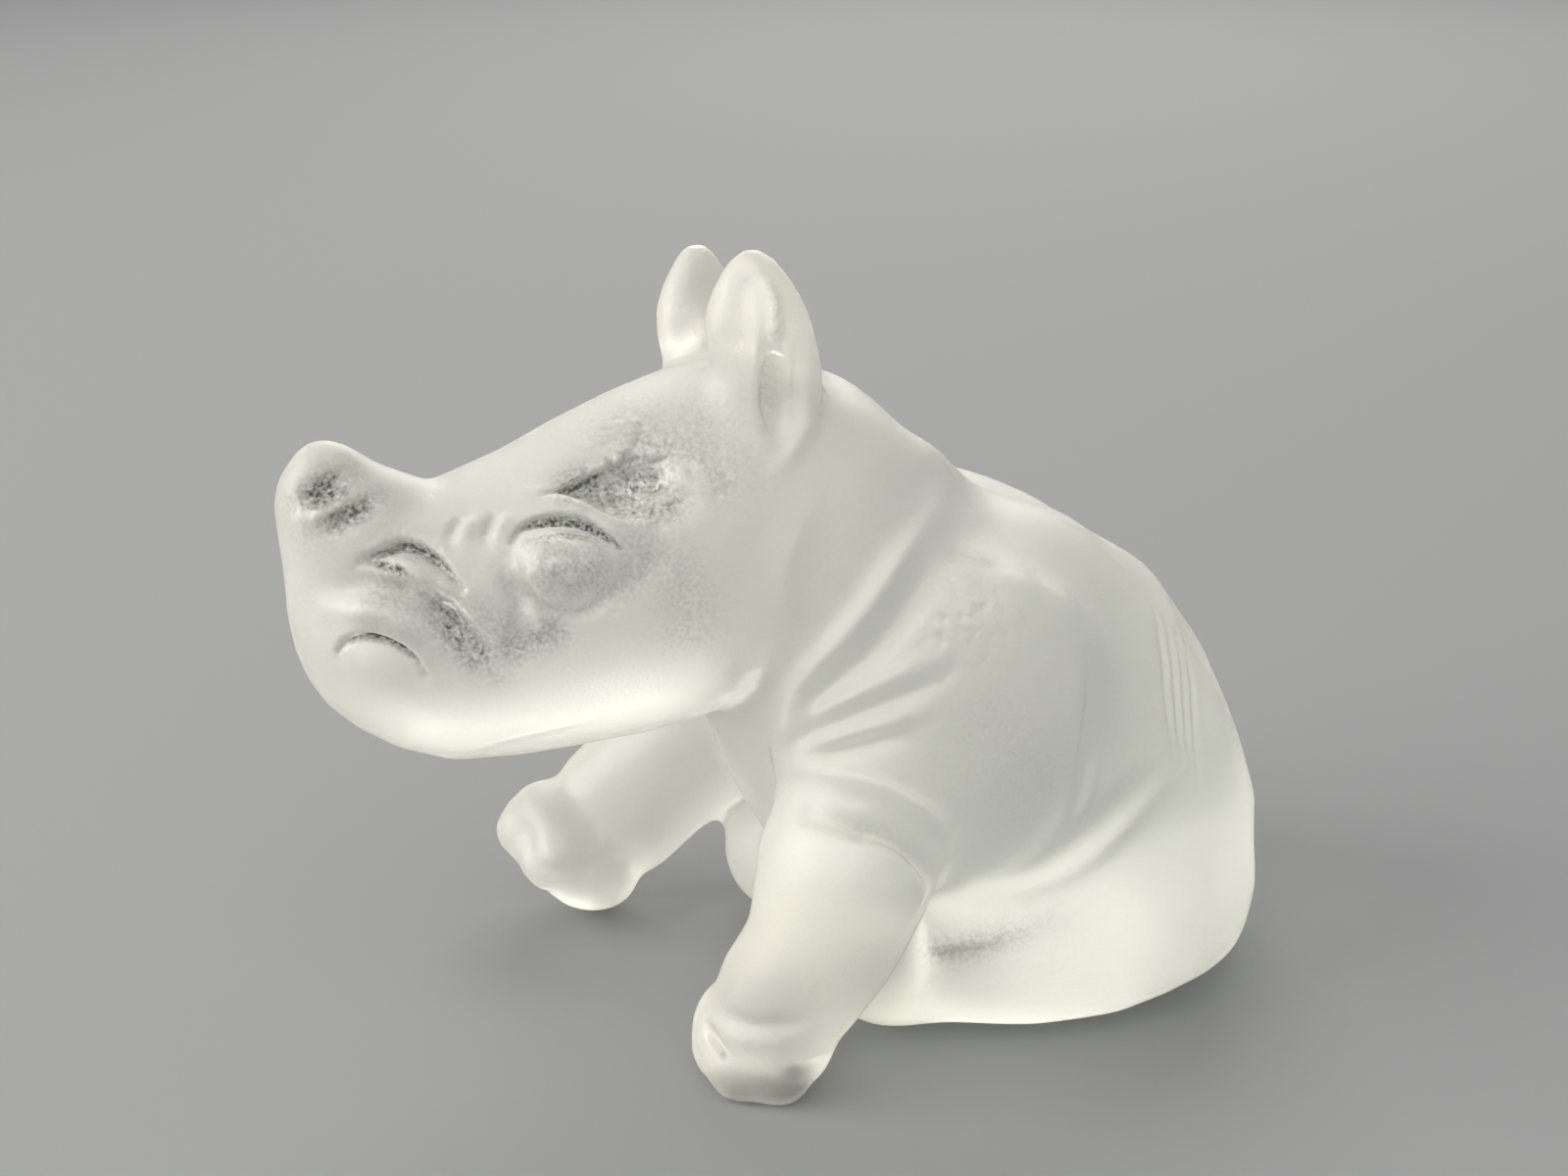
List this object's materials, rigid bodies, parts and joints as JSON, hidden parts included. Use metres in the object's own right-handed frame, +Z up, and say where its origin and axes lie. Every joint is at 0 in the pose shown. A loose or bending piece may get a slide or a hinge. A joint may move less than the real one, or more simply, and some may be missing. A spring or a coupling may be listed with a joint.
{
  "type": "animal figurine",
  "caption": "Seated rhinoceros calf figurine of satin-etched cast glass, with a stubby horn, leaf-shaped ears and a forefoot stretched out in front; a free-standing ornament.",
  "frame": {"origin": "on the surface that it stands on, under the middle of its length and width", "axes": "+X towards the nose, +Y to the animal's left, +Z up"},
  "size_m": [0.0952, 0.0524, 0.0729],
  "materials": {
    "satin_glass": "cast, then acid-etched to a satin",
    "rubbed_glass": "cast, then rubbed smoother than the etched skin"
  },
  "bodies": {
    "root": {"torso": "satin_glass", "eye_left": "rubbed_glass", "eye_right": "rubbed_glass", "head": "satin_glass", "neck": "satin_glass", "front_foot_left": "satin_glass", "front_foot_right": "satin_glass", "hind_foot_left": "satin_glass", "hind_foot_right": "satin_glass", "front_leg_left": "satin_glass", "front_leg_right": "satin_glass", "hind_leg_left": "satin_glass", "hind_leg_right": "satin_glass", "shoulder_left": "satin_glass", "shoulder_right": "satin_glass", "horn": "satin_glass", "ear_left": "satin_glass", "ear_right": "satin_glass", "tail": "satin_glass"}
  },
  "joints": []
}
